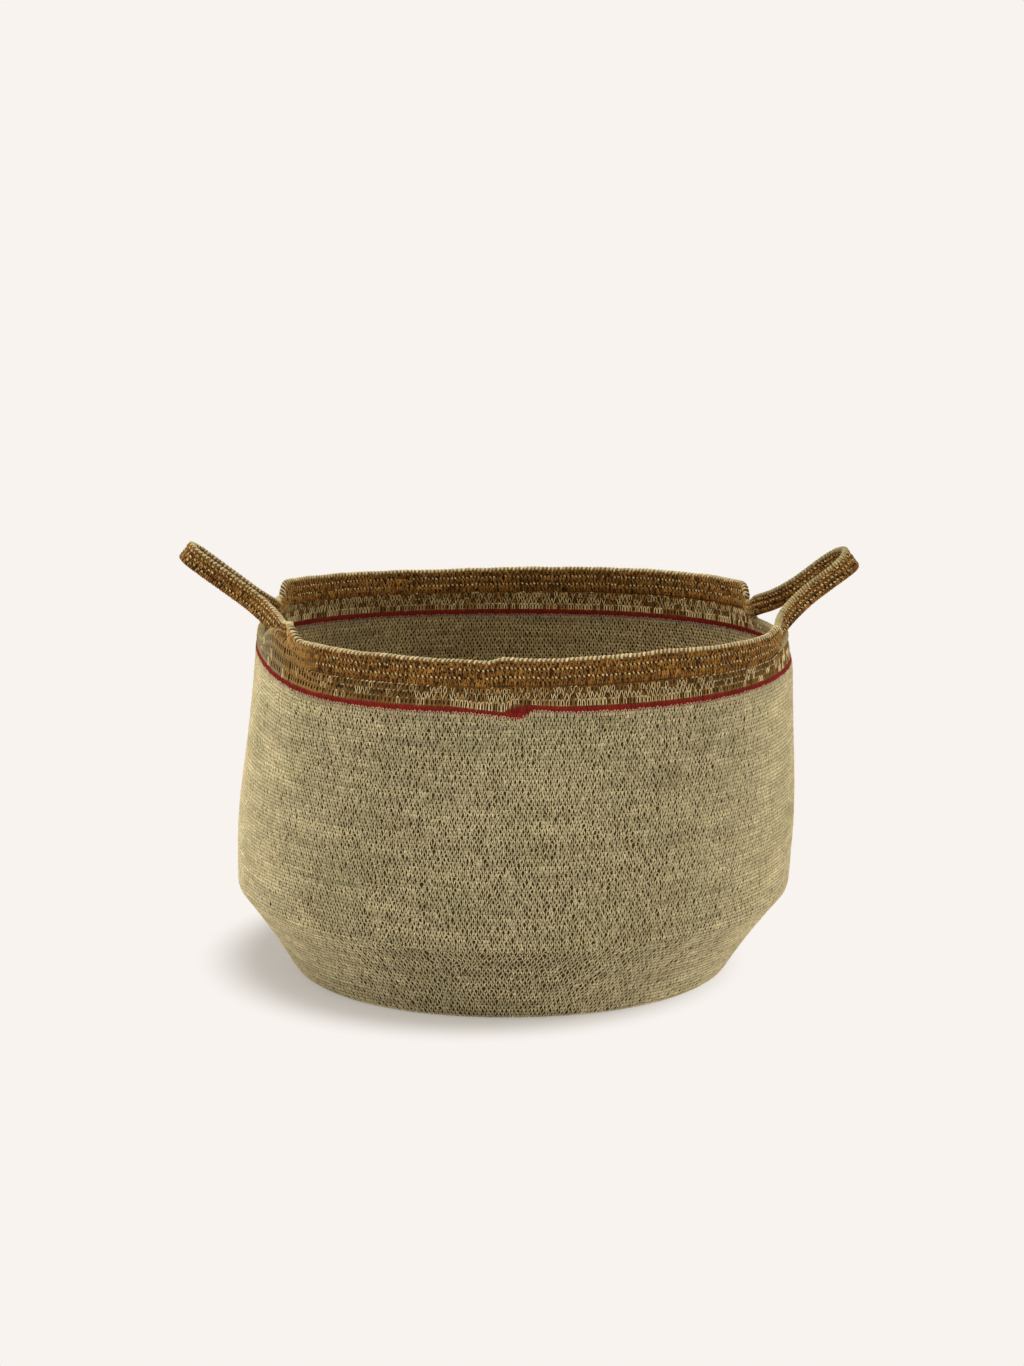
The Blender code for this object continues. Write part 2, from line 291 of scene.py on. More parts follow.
# Heights from which the rows are drawn up, are held level under the front edge, and follow the edge
LIFT_START = 0.150
LIFT_RISE = 0.070
HOLD_START = 0.231
HOLD_RISE = 0.018
EDGE_START = 0.232


def dip(angle):
    """How far the mouth's edge sags or stands at an angle."""
    waves = 0.16 * np.sin(angle * 23.0) + 0.12 * np.sin(angle * 41.0 + 1.0)
    return (np.interp(signed(np.degrees(angle)), EDGE_ANGLES, EDGE_LIFTS) + waves) * MM


def side_lift(angle):
    """How far the rows are drawn up between a handle's roots."""
    left = signed(np.degrees(angle) - LIFT_MIDDLE)
    right = np.degrees(angle) % 360.0
    right = np.minimum(right, 360.0 - right)
    forward = np.exp(-(np.maximum(left, 0.0) / LIFT_REACHES[0]) ** 3)
    backward = np.exp(-(np.maximum(-left, 0.0) / LIFT_REACHES[1]) ** 1.4)
    return (LEFT_LIFT * forward * backward + RIGHT_LIFT * np.exp(-(right / LIFT_REACHES[2]) ** 2)) * MM


def root_fill(angle):
    """How far the mixed rows stretch up beside the front roots to meet the straps, and sag between the roots."""
    degrees = np.degrees(angle) % 360.0
    left = band(degrees, 189.0, 14.0, 218.0, 7.0)
    between = band(degrees, 150.0, 14.0, 200.0, 12.0)
    right = band(degrees, 335.0, 5.0, 360.0, 12.0)
    behind = band(signed(degrees), -10.0, 14.0, 24.0, 6.0)
    return (LEFT_FILL * left - LEFT_SAG * between + RIGHT_FILL * right - RIGHT_SAG * behind) * MM


def rise_at(angle, height, filled=True):
    """The whole lift of a point of the wall: none low down, and held level under the front edge."""
    degrees = signed(np.degrees(angle))
    front = band(degrees, -158.0, 8.0, -24.0, 8.0)
    back = band(degrees, 24.0, 8.0, 158.0, 8.0)
    held = front * smooth((height - HOLD_START) / HOLD_RISE)
    edge = dip(angle) * smooth((height - EDGE_START) / (EDGE_TOP - EDGE_START)) * np.maximum(front, back)
    fill = root_fill(angle) * smooth((height - RED_TOP) / (MIXED_TOP - RED_TOP)) if filled else 0.0
    return side_lift(angle) * smooth((height - LIFT_START) / LIFT_RISE) * (1.0 - held) + edge + fill


def row_shift(angle, down):
    """Where the red course's end slips under its start, the rows beside it step by a few millimetres."""
    below = smooth(0.5 + (down + 1.0 * MM) / (4.0 * MM))
    away = signed(np.degrees(angle) - (JOG_ANGLE + JOG_LAP * (2.0 * below - 1.0)))
    left = -JOG_FALL * smooth(1.0 + away / JOG_LEFT_REACH)
    right = JOG_RISE * smooth(1.0 - away / JOG_RIGHT_REACH)
    share = smooth(0.5 + away / 2.4)
    return (left * (1.0 - share) + right * share) * MM * smooth(1.0 - np.abs(down + 2.0 * MM) / (12.0 * MM))


def wall_slope(down):
    """The outside's direction there: how much outward, how much up."""
    return np.interp(down, LINE_DOWN, LINE_OUT[:, 0]), np.interp(down, LINE_DOWN, LINE_OUT[:, 1])


def on_wall(angle, down, out=0.0, shift=0.0):
    """A point of the outside, this far down from the wall's top, this far out and shifted up."""
    out_share, up_share = wall_slope(down)
    radius = np.interp(down, LINE_DOWN, LINE_RADIUS) + out_share * out
    height = np.interp(down, LINE_DOWN, LINE_HEIGHT) + up_share * out
    lift = rise_at(angle, height) + shift
    return settle(radius * np.cos(angle), radius * np.sin(angle), height + lift)


def wall_normal(angle, down):
    out_share, up_share = wall_slope(down)
    along = on_wall(angle + 0.01, down) - on_wall(angle - 0.01, down)
    level = unit(np.stack([along[..., 1], -along[..., 0], 0.0 * along[..., 0]], -1))
    level = np.where((out_share > 0.05)[..., None], level, ring(angle))
    return unit(level * out_share[..., None] + UP * up_share[..., None])


def laid(angle, down, out, inside=False, shift=None):
    """Points and normals on the wall's outer or inner face, this far off it."""
    if shift is None:
        shift = row_shift(angle, down)
    if inside:
        return on_wall(angle, down, -WALL_THICKNESS - out, shift), -wall_normal(angle, down)
    return on_wall(angle, down, out, shift), wall_normal(angle, down)


# The strap's closed path: front rim, left handle, back rim, right handle
RIM_STEPS = 160
RIM_TILT = 0.008
FLIPPED = np.array([1.0, -1.0, 1.0])
PATH_ENDS = 10
PATH_SOFT = np.ones(7) / 7.0


def rim_centre(angle, height):
    radius = wall_radius(height) - HALF_STRAP
    return settle(radius * np.cos(angle), radius * np.sin(angle), height)


def root_angle(distance):
    """The back rim's angle that lies this far behind the middle."""
    angles = np.linspace(0.0, math.pi / 2.0, 4000)
    return float(np.interp(distance, rim_centre(angles, STRAP_HEIGHT)[:, 1], angles))


def root_x(side, spacing):
    angle = root_angle(spacing)
    return float(rim_centre(math.pi - angle if side < 0 else angle, STRAP_HEIGHT)[0])


def half_loop(spacing, reach, half_width):
    """Half a handle in its own plane, root to tip: out, across, share of lean."""
    drawn_in = spacing - ROOT_STUB
    turn = np.linspace(0.0, math.pi / 2.0, 24)
    leg_end = reach - half_width
    leg = np.linspace(LEG_START, leg_end, 10)[1:-1]
    tip = np.linspace(0.0, math.pi / 2.0, 14)
    out = np.concatenate([[0.0], LEG_START * (1.0 - np.cos(turn)), leg, leg_end + half_width * np.sin(tip)])
    curve = drawn_in - (drawn_in - half_width) * np.sin(turn)
    across = np.concatenate([[spacing], curve, np.full(len(leg), half_width), half_width * np.cos(tip)])
    lean = np.concatenate([[0.0], smooth(turn * 2.0 / math.pi), np.ones(len(leg) + len(tip))])
    return out, across, lean


def rim_part(front):
    """Centre and upright along the front rim from right to left, or along the back rim from left to right."""
    first, last = [
        root_angle((LOOPS[word][1] if front else BACK_SPACINGS[word]) + ROOT_EASE) for word in ("right", "left")
    ]
    angles = np.linspace(first, math.pi - last, RIM_STEPS)
    low, middle, high = [rim_centre(angles, STRAP_HEIGHT + lift) for lift in (-RIM_TILT, 0.0, RIM_TILT)]
    upright = unit(high - low)
    upright[:, 2] = np.abs(upright[:, 2])
    if front:
        return middle * FLIPPED, upright * FLIPPED
    return middle[::-1], upright[::-1]


def handle_part(word):
    """Centre and upright along a handle, from its first root on the path to its second."""
    side, spacing, reach, half_width = LOOPS[word]
    start_x = root_x(side, spacing)
    halves = []
    for face, distance in ((-1.0, spacing), (1.0, BACK_SPACINGS[word])):
        out, across, lean = half_loop(distance, reach, half_width)
        ahead = abs(root_x(side, distance) - start_x)
        halves.append((np.hypot(math.cos(LOOP_SLOPE) * out, ahead), face * across, out, lean))
    first, second = halves if side < 0 else halves[::-1]
    level, across, out, lean = [np.concatenate([one, two[::-1][1:]]) for one, two in zip(first, second)]
    lean = lean * LOOP_SLOPE
    middle = np.stack([start_x + side * level, across, STRAP_HEIGHT + math.sin(LOOP_SLOPE) * out], -1)
    return middle, np.stack([-side * np.sin(lean), 0.0 * lean, np.cos(lean)], -1)


def strap_path():
    """Centre, upright and outward at even steps of the closed strap, its length, and where its parts start."""
    parts = [rim_part(True), handle_part("left"), rim_part(False), handle_part("right")]
    starts = np.cumsum([0] + [len(middle) for middle, _ in parts[:-1]])
    centres, uprights = [np.concatenate(tables) for tables in zip(*parts)]
    run = line_run(np.vstack([centres, centres[:1]]))
    total = run[-1]
    count = int(total / MM)
    even = np.arange(count) * total / count

    def evened(table):
        columns = []
        for column in np.vstack([table, table[:1]]).T:
            column = np.interp(even, run, column)
            wide = np.concatenate([column[-PATH_ENDS:], column, column[:PATH_ENDS]])
            columns.append(np.convolve(wide, PATH_SOFT, "same")[PATH_ENDS:-PATH_ENDS])
        return np.stack(columns, -1)

    centre, upright = evened(centres), evened(uprights)
    along = unit(np.roll(centre, -1, axis=0) - np.roll(centre, 1, axis=0))
    upright = unit(upright - along * np.sum(upright * along, axis=1, keepdims=True))
    return centre, upright, np.cross(upright, along), total, run[starts]


PATH_CENTRE, PATH_UP, PATH_OUT, PATH_LENGTH, ROOTS = strap_path()
FRONT_START, LEFT_START, BACK_START, RIGHT_START = ROOTS
LEFT_TIP = (LEFT_START + BACK_START) / 2.0
RIGHT_TIP = (RIGHT_START + PATH_LENGTH) / 2.0

# At the roots, front right, front left, back left and back right: which way the handle lies along the path, how far
# the rim's top drops, how far the strap sinks, over what run and from how far before, how much wider it gets, and
# how tan its wraps are
TOWARD_HANDLE = np.array([-1.0, 1.0, -1.0, 1.0])
ROOT_DROPS = np.array([0.0, 2.0, 2.0, 7.5]) * MM
ROOT_SINKS = np.array([2.0, -11.0, 0.0, 3.0]) * MM
ROOT_RUNS = np.array([30.0, 50.0, 30.0, 30.0]) * MM
ROOT_LEADS = np.array([5.0, 17.0, 5.0, 5.0]) * MM
ROOT_WIDTHS = np.array([6.0, 0.0, 0.0, 0.0]) * MM
ROOT_TANS = np.array([0.35, 1.0, 0.5, 0.5])
HANDLE_SINKS = np.array([2.6, 1.8, 1.8, 2.6]) * MM
HANDLE_TRIM = 1.0 * MM
TIP_WIDER = 2.6 * MM
RIM_LAP = 2.4 * MM


def path_pick(table, along):
    place = (along % PATH_LENGTH) / PATH_LENGTH * len(table)
    low = np.floor(place).astype(int)
    part = (place - low)[..., None]
    return table[low % len(table)] * (1.0 - part) + table[(low + 1) % len(table)] * part


def root_distance(along):
    """Signed distance to the nearest root, positive on the handle's side, and which root."""
    gaps = (along[..., None] % PATH_LENGTH - ROOTS + PATH_LENGTH / 2.0) % PATH_LENGTH - PATH_LENGTH / 2.0
    nearest = np.argmin(np.abs(gaps), axis=-1)
    gap = np.take_along_axis(gaps, nearest[..., None], -1)[..., 0]
    return gap * TOWARD_HANDLE[nearest], nearest


def strap_edges(along):
    """Heights of the strap's top and lower edge over its middle."""
    gap, nearest = root_distance(along)
    drop = ROOT_DROPS[nearest]
    centre = path_pick(PATH_CENTRE, along)
    angle = np.arctan2(centre[..., 1], centre[..., 0])
    rise_top = rise_at(angle, EDGE_TOP, False)
    rise_low = rise_at(angle, EDGE_TOP - STRAP_TOP + STRAP_BOTTOM, False)
    inward = np.clip(1.0 + gap / (12.0 * MM), 0.0, 1.0)
    rounding = 1.0 - np.sqrt(1.0 - inward * inward)
    rim_top = STRAP_TOP + rise_top - (drop + rise_top) * rounding
    rim_low = STRAP_BOTTOM - RIM_LAP * (1.0 - inward) + rise_low * (1.0 - smooth(inward))
    onto = smooth(gap / (26.0 * MM))
    trim = HANDLE_TRIM * smooth(gap / (20.0 * MM))
    fade = 1.0 - smooth((gap - 6.0 * MM) / ROOT_RUNS[nearest])
    lead = ROOT_LEADS[nearest]
    sink = HANDLE_SINKS[nearest] * smooth(gap / (24.0 * MM))
    sink = sink + ROOT_SINKS[nearest] * fade * smooth((gap + lead) / (lead + 4.0 * MM))
    wider = ROOT_WIDTHS[nearest] * fade * smooth(gap / (8.0 * MM))
    wider = wider + TIP_WIDER * np.exp(-((along % PATH_LENGTH - RIGHT_TIP) / (16.0 * MM)) ** 2)
    handle_top = STRAP_TOP - drop * (1.0 - onto) - trim
    handle_low = STRAP_BOTTOM + trim - wider
    return np.where(gap < 0.0, rim_top, handle_top) - sink, np.where(gap < 0.0, rim_low, handle_low) - sink


def on_strap(along, drop, out):
    """A point of the strap: along it, down from its top edge in nominal millimetres, and out in metres."""
    top, low = strap_edges(along)
    up = top - drop / STRAP_WIDTH * (top - low)
    point = path_pick(PATH_CENTRE, along) + path_pick(PATH_UP, along) * up[..., None]
    return point + path_pick(PATH_OUT, along) * np.asarray(out)[..., None]


# Meshes

class Bundle:
    """Collects strands and sheets that become one piece."""

    def __init__(self):
        self.points, self.faces, self.tints, self.count = [], [], [], 0

    def add(self, points, index, tint):
        """Points and their colours, with faces over the last two axes of the index."""
        low, high = index[..., :-1, :], index[..., 1:, :]
        corners = np.stack([low[..., :-1], low[..., 1:], high[..., 1:], high[..., :-1]], -1)
        self.points.append(points.reshape(-1, 3))
        self.faces.append(corners.reshape(-1, 4) + self.count)
        self.tints.append(np.broadcast_to(tint, points.shape).reshape(-1, 3))
        self.count += points.size // 3

    def sheet(self, grid, tint, closed=False):
        """A grid (rows, columns, 3) of points, whose columns close to a ring, and its rows too where it says so."""
        index = np.arange(grid.size // 3).reshape(grid.shape[:2])
        if closed:
            index = np.vstack([index, index[:1]])
        index = np.hstack([index, index[:, :1]])
        self.add(grid, index, tint)

    def strands(self, centre, normal, width, lift, tint, edge=0.55, fade=1.0):
        """Ridged strands: centre and normal (n, k, 3), width (n, k) or less, tint (n, 3), edges darker as painted
        shade on the round flanks, and a fade that scales the colour step by step along each strand.
        """
        count, steps = centre.shape[:2]
        side = unit(np.cross(np.gradient(centre, axis=1), normal))
        half = side * (np.broadcast_to(width, (count, steps)) / 2.0)[..., None]
        sunk = normal * lift
        rails = np.stack([centre - half - sunk, centre, centre + half - sunk], 2)
        # The side rails take the edge share: painted shade on the strand's round flanks.
        shade = np.array([edge, 1.0, edge])[None, None, :, None]
        colour = tint[:, None, None, :] * shade * np.broadcast_to(fade, steps)[None, :, None, None]
        self.add(rails, np.arange(count * steps * 3).reshape(count, steps, 3), colour)

    def make(self, name, nodes, slot_name, body="basket"):
        """Ends the bundle as one piece of four-sided faces, with a colour for each vertex."""
        points, faces = np.concatenate(self.points), np.concatenate(self.faces)
        mesh = bpy.data.meshes.new(name)
        mesh.vertices.add(len(points))
        mesh.vertices.foreach_set("co", np.ascontiguousarray(points, np.float32).ravel())
        mesh.loops.add(faces.size)
        mesh.polygons.add(len(faces))
        mesh.loops.foreach_set("vertex_index", faces.astype(np.int32).ravel())
        mesh.polygons.foreach_set("loop_start", np.arange(0, faces.size, 4, dtype=np.int32))
        mesh.polygons.foreach_set("use_smooth", np.ones(len(faces), bool))
        mesh.update(calc_edges=True)
        colour = np.ones((len(points), 4), np.float32)
        colour[:, :3] = np.concatenate(self.tints)
        mesh.attributes.new("tint", "FLOAT_COLOR", "POINT").data.foreach_set("color", colour.ravel())
        mesh.materials.append(GRASS if slot_name.startswith("seagrass") else WRAP)
        piece = bpy.data.objects.new(name, mesh)
        bpy.context.scene.collection.objects.link(piece)
        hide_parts(*nodes)
        if isinstance(body, str):
            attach(piece, body)
        else:
            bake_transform(piece)


def new_material(name, roughness, specular):
    """A material with its nodes, links and shader."""
    material = bpy.data.materials.new(name)
    material.use_nodes = True
    nodes = material.node_tree.nodes
    shader = nodes["Principled BSDF"]
    shader.inputs["Roughness"].default_value = roughness
    shader.inputs["Specular IOR Level"].default_value = specular
    return material, nodes, material.node_tree.links, shader


def new_node(nodes, kind, **values):
    """A node of a kind, with values for its inputs, a name's spaces written as underscores."""
    node = nodes.new("ShaderNode" + kind)
    for word, value in values.items():
        node.inputs[word.replace("_", " ")].default_value = value
    return node


def grass_material(name, roughness, grain):
    """Dry grass: the stitch's own colour with fine fibre streaks."""
    material, nodes, links, shader = new_material(name, roughness, 0.08)
    tint = new_node(nodes, "Attribute")
    tint.attribute_name = "tint"
    place = new_node(nodes, "TexCoord")
    streak = new_node(nodes, "TexNoise", Scale=grain, Detail=3.0)
    tone = new_node(nodes, "MapRange", From_Min=0.3, From_Max=0.7, To_Min=0.78, To_Max=1.2)
    mix = new_node(nodes, "VectorMath")
    mix.operation = "SCALE"
    links.new(place.outputs["Object"], streak.inputs["Vector"])
    links.new(streak.outputs["Fac"], tone.inputs["Value"])
    links.new(tint.outputs["Color"], mix.inputs[0])
    links.new(tone.outputs["Result"], mix.inputs["Scale"])
    links.new(mix.outputs["Vector"], shader.inputs["Base Color"])
    return material


GRASS = grass_material("grass", 0.75, 900.0)
WRAP = grass_material("wrapped_grass", 0.6, 1100.0)

# The body's net of stitches: sizes of the patches and streaks in its tone, and how much each of them counts
PATCH, PATCH_TONE = 0.045, 0.14
STREAK, STREAK_TONE = 0.02, 0.26
OWN_TONE = 0.10
RARE_TINT = [0.95, 0.62, 0.42]
# A leg stands, then arches over: shares of the way up and across, millimetres over the wall, width, and a brightness
# that is painted shade where the leg dips under the next row
UPRIGHT_LEG = np.array([
    (-0.14, 0.22, -0.50, 0.92, 0.50), (0.34, 0.36, 0.06, 1.05, 1.06),
    (0.80, 0.50, 0.22, 0.95, 1.06), (1.05, 1.04, -0.16, 0.70, 0.66),
])
PLAIN_LEG = np.array([
    (-0.08, -0.04, -0.34, 0.85, 0.70), (0.55, 0.32, 0.08, 1.0, 1.05), (1.06, 1.06, -0.10, 0.85, 0.85),
])


def grass_tint(points, count, base):
    """Each stitch's colour: greener and browner patches, a few orange strands, streaks along the rows, chance."""
    broad = noise(points * [1.0, 1.0, 3.0], PATCH)
    fine = noise(points * [1.0, 1.0, 8.0], STREAK, 9.0)
    own = rng.normal(0.0, 1.0, count)
    tone = np.clip(0.96 + PATCH_TONE * (broad - 0.5) + STREAK_TONE * (fine - 0.5) + OWN_TONE * own, 0.40, 1.55)
    hue = noise(points, 0.03, 17.0)[:, None]
    warm = noise(points * [1.0, 1.0, 2.0], 0.018, 31.0)[:, None]
    tint = toward(base, STRAW_GREEN, np.clip((hue - 0.45) * 2.2, 0.0, 1.0) * 0.5)
    tint = toward(tint, STRAW_TAN, np.clip((warm - 0.62) * 1.2, 0.0, 0.25))
    rare = (noise(points, 0.006, 57.0) > 0.975)[:, None] & (rng.random((count, 1)) < 0.5)
    return np.where(rare, tint * RARE_TINT, tint) * tone[:, None]


def net_legs(edges, stitches, wander, shear, unrest):
    """Each leg of a net, from a lower crossing up to one of its two upper ones: angle and down of both ends, row."""
    count = len(edges)
    step = TURN / stitches
    angle = (np.arange(stitches)[None, :] + 0.5 * (np.arange(count)[:, None] % 2)) * step
    down = np.repeat(edges[:, None], stitches, 1)
    drift = (noise(ring(angle, down * 5.0) * 0.2, 0.012, 3.0) - 0.5) * wander
    angle = angle + step * (drift + rng.normal(0.0, 0.13 * unrest, angle.shape))
    down = down + rng.normal(0.0, 0.16 * unrest * MM, down.shape)
    angle = angle - shear * TURN / stitches * np.arange(count)[:, None]
    feet, tops, rows = [], [], []
    for low in range(1, count):
        for shift in ((0, -1) if low % 2 == 0 else (0, 1)):
            wraps, turned = np.divmod(np.arange(stitches) + shift, stitches)
            feet.append(np.stack([angle[low], down[low]], -1))
            tops.append(np.stack([angle[low - 1][turned] + wraps * TURN, down[low - 1][turned]], -1))
            rows.append(np.full(stitches, low))
    return np.concatenate(feet), np.concatenate(tops), np.concatenate(rows)


def lay_net(bundle, edges, stitches, wander, width, base, leg=UPRIGHT_LEG, shear=0.0, inside=False, painted_light=1.0):
    """A net of stitches between the rows' edges."""
    # fade, the leg's last column, is painted shade at the row seams, where the feet and tops dip under.
    climb, swing, rise, taper, fade = leg.T
    feet, tops, rows = net_legs(edges, stitches, wander, shear, 0.4 if inside else 1.0)
    count = len(feet)
    swing = swing * (1.0 + (climb * (1.0 - climb) * 4.0) * jitter(0.45, count))
    angles = feet[:, :1] + (tops[:, :1] - feet[:, :1]) * swing
    downs = feet[:, 1:] + (tops[:, 1:] - feet[:, 1:]) * climb
    points, normals = laid(angles, downs, rise * MM, inside)
    middle = points[:, 1]
    # The net's colour is scaled by painted light, which brightens the inside nets.
    tint = grass_tint(middle, count, base) * painted_light
    course = 1.0 + 0.34 * (noise(ring(feet[:, 0], rows), 0.16, 23.0) - 0.5)
    # Painted sheen: in small patches, legs leaning one way are painted lighter and those leaning the other way
    # darker.
    painted_lean_sheen = 1.0 + 0.12 * np.sign(tops[:, 0] - feet[:, 0]) * (noise(middle, 0.006, 71.0) - 0.5)
    tint = tint * (course * painted_lean_sheen)[:, None]
    widths = width * taper * np.clip(1.0 + jitter(0.17, count), 0.6, 1.5)
    # The edge share 0.42 and the fade paint shade on the flanks and at the row seams.
    bundle.strands(points, normals, widths, STRAND_DEPTH, tint, 0.42, fade)


def loose_strands(bundle, edges, count, base):
    """Thin near-upright strands that stray over the net."""
    top, end = edges[0], edges[-1]
    angle = rng.random(count) * TURN
    middle = top + (end - top) * rng.random(count)
    half = (1.4 + 1.5 * rng.random(count)) * MM
    lean = rng.normal(0.0, 0.28, count) * half / CREASE_RADIUS
    bend = rng.normal(0.0, 0.35, count) * MM / CREASE_RADIUS
    steps = np.array([-1.0, 0.0, 1.0])
    angles = angle[:, None] + lean[:, None] * steps + bend[:, None] * (1.0 - steps ** 2)
    downs = np.clip(middle[:, None] + half[:, None] * steps, top, end)
    points, normals = laid(angles, downs, np.array([0.0, 0.34, 0.0]) * MM)
    tint = grass_tint(points[:, 1], count, base) * 1.12
    bundle.strands(points, normals, np.array([0.35, 0.62, 0.35]) * MM, 0.3 * MM, tint, 0.6)


line_end = float(LINE_DOWN[-1])
crease_down = float(np.interp(-CREASE_HEIGHT, -LINE_HEIGHT[LINE_HEIGHT > 0.01], LINE_DOWN[LINE_HEIGHT > 0.01]))
heel_down = float(np.interp(BASE_RADIUS, LINE_RADIUS[::-1][:700], LINE_DOWN[::-1][:700]))
NET_TOP = 1.7 * MM
wall_rows = round(crease_down / ROW)
WALL_EDGES = np.linspace(NET_TOP, crease_down, wall_rows + 1)
TAPER_EDGES = np.linspace(crease_down, heel_down, round((heel_down - crease_down) / TAPER_ROW) + 1)

quarters = np.array_split(np.arange(wall_rows), 4)
for rows, name in zip(quarters, ("wall_net_top", "wall_net_upper", "wall_net_lower", "wall_net_bottom")):
    edges = WALL_EDGES[rows[0]:rows[-1] + 2]
    bundle = Bundle()
    lay_net(bundle, edges, BODY_STITCHES, 0.8, 0.96 * MM, STRAW * 1.12)
    loose_strands(bundle, edges, 1600, STRAW)
    bundle.make(name, ["upper_wall"], "seagrass_body")
bundle = Bundle()
lay_net(bundle, TAPER_EDGES, TAPER_STITCHES, 1.0, 0.98 * MM, STRAW * 1.09, shear=0.05)
loose_strands(bundle, TAPER_EDGES, 800, STRAW * 0.95)
bundle.make("taper_net", ["lower_wall", "base_heel"], "seagrass_body")

# The base's two faces, in rings of radial stitches
BASE_ROW = 4.0 * MM
BASE_STITCH = 4.2 * MM
bundle = Bundle()
for row in range(int(BASE_RADIUS / BASE_ROW)):
    outer = BASE_RADIUS - row * BASE_ROW
    stitches = max(int(TURN * outer / BASE_STITCH), 8)
    angle = np.arange(stitches) / stitches * TURN + row * 0.7
    for face, level in ((-1.0, 0.0), (1.0, WALL_THICKNESS)):
        radii = np.linspace(max(outer - BASE_ROW, 0.5 * MM) - 0.3 * MM, outer + 0.3 * MM, 3)
        turn = angle[:, None] + np.array([-0.35, 0.0, 0.35]) * TURN / stitches
        height = level + face * np.array([-0.5, -0.05, -0.5]) * MM
        points = settle(radii * np.cos(turn), radii * np.sin(turn), height)
        tint = grass_tint(points[:, 1], stitches, STRAW * 0.85)
        bundle.strands(points, UP * face, TURN * radii / stitches * 0.96, 0.5 * MM, tint)
bundle.make("base_stitches", ["base_floor", "base_start"], "seagrass_base")

# The inside, coarser farther down
inside_end = heel_down - 6.0 * MM
inside_rows = round((inside_end - 0.5 * MM) / INSIDE_ROW)
half_rows = inside_rows // 2
INSIDE_EDGES = np.linspace(NET_TOP, inside_end, inside_rows + 1)
lower_edges = np.linspace(INSIDE_EDGES[half_rows], inside_end, half_rows * 3 // 4 + 1)
# The inside nets are painted 1.2 times lighter: painted light in the mouth.
for name, edges, stitches, leg, width in (
    ("inside_net_upper", INSIDE_EDGES[:SEEN_ROWS + 1], INSIDE_STITCHES, UPRIGHT_LEG, 1.2 * MM),
    ("inside_net_middle", INSIDE_EDGES[SEEN_ROWS:half_rows + 1], INSIDE_STITCHES, PLAIN_LEG, 1.35 * MM),
    ("inside_net_lower", lower_edges, INSIDE_STITCHES * 3 // 4, PLAIN_LEG, 2.1 * MM),
):
    bundle = Bundle()
    lay_net(bundle, edges, stitches, 0.4, width, STRAW_TAN, leg=leg, inside=True, painted_light=1.2)
    bundle.make(name, ["upper_wall"], "seagrass_body")

# The coil core between the stitches, coloured dark as painted shade in the gaps and darker near both rims as painted
# shade under the courses: down the outside, over the floor and up the inside
SHELL_INSET = 1.1 * MM
SHELL_COLUMNS = 240
RIM_ROWS = 8
turns = np.linspace(0.0, TURN, SHELL_COLUMNS, endpoint=False)
rim_rise = -(MIXED_TOP - 0.4 * MM - WALL_TOP)
outside_down = np.linspace(rim_rise, line_end - 0.5 * MM, 126)[:, None]
inside_down = np.linspace(heel_down - 3.0 * MM, rim_rise, 76)[:, None]
floor_radius = np.linspace(0.5 * MM, BASE_RADIUS - 2.0 * MM, 12)[:, None]
shell = np.concatenate([
    on_wall(turns, outside_down, -SHELL_INSET, row_shift(turns, outside_down)),
    settle(floor_radius * np.cos(turns), floor_radius * np.sin(turns), WALL_THICKNESS - SHELL_INSET),
    on_wall(turns, inside_down, -(WALL_THICKNESS - SHELL_INSET)),
])
# Painted shade: the core's colour stands for the shade between the stitches, darkest under the rim courses.
shell_shade = np.broadcast_to(PIT_SHADE, shell.shape).copy()
shell_shade[:RIM_ROWS] = CORE_SHADE
shell_shade[-RIM_ROWS:] = CORE_SHADE
bundle = Bundle()
bundle.sheet(shell, shell_shade, closed=True)
bundle.make("core_shell", ["upper_wall", "lower_wall", "base_floor", "base_heel"], "seagrass_body")

# Rings of stitches: a loop's line, across and up in half widths and heights of its course
ARCH = np.array([(-1.0, 0.0), (-1.0, 0.5), (-0.72, 0.90), (0.0, 1.06), (0.72, 0.90), (1.0, 0.5), (1.0, 0.0)])
VEE = np.array([(-1.05, 1.0), (-0.55, 0.5), (0.0, -0.05), (0.55, 0.5), (1.05, 1.0)])
RIM_RADIUS = 0.195
ARCH_HALF = 0.30 * STITCH
VEE_HALF = 0.34 * STITCH
LOOP_OUT = 0.34 * MM
RED_STITCHES = 770
RED_LOW, RED_HIGH = 2.2 * MM, -3.5 * MM
MIXED_EDGES = (3.4, 8.2, 13.0, 17.9)


def ring_strands(bundle, angles, ends, out, width, lift, tint, inside, bulge, edge=0.55, slant=0.0, shift=None):
    """Short arched stitches, one for each angle, from one down-distance to another."""
    steps = np.linspace(0.0, 1.0, 5)
    angle = angles[:, None] + (steps - 0.5) * slant / RIM_RADIUS
    down = ends[0] + (ends[1] - ends[0]) * steps
    points, normals = laid(angle, down, out + bulge * hump(steps), inside, shift)
    bundle.strands(points, normals, width, lift, tint, edge)


def loops(bundle, angles, ends, shape, half_width, out, width, tint, inside):
    """Thin loops of one stitch each, standing between two down-distances."""
    lean = jitter(0.16, len(angles))
    across = shape[:, 0] + lean * (shape[:, 1] - 0.5)
    angle = angles[:, None] + across * half_width / wall_radius(WALL_TOP)
    reach = ends[1] - ends[0] + jitter(0.25, len(angles)) * MM
    points, normals = laid(angle, ends[0] + reach * shape[:, 1], out, inside)
    bundle.strands(points, normals, width, 0.35 * MM, tint, 0.6)


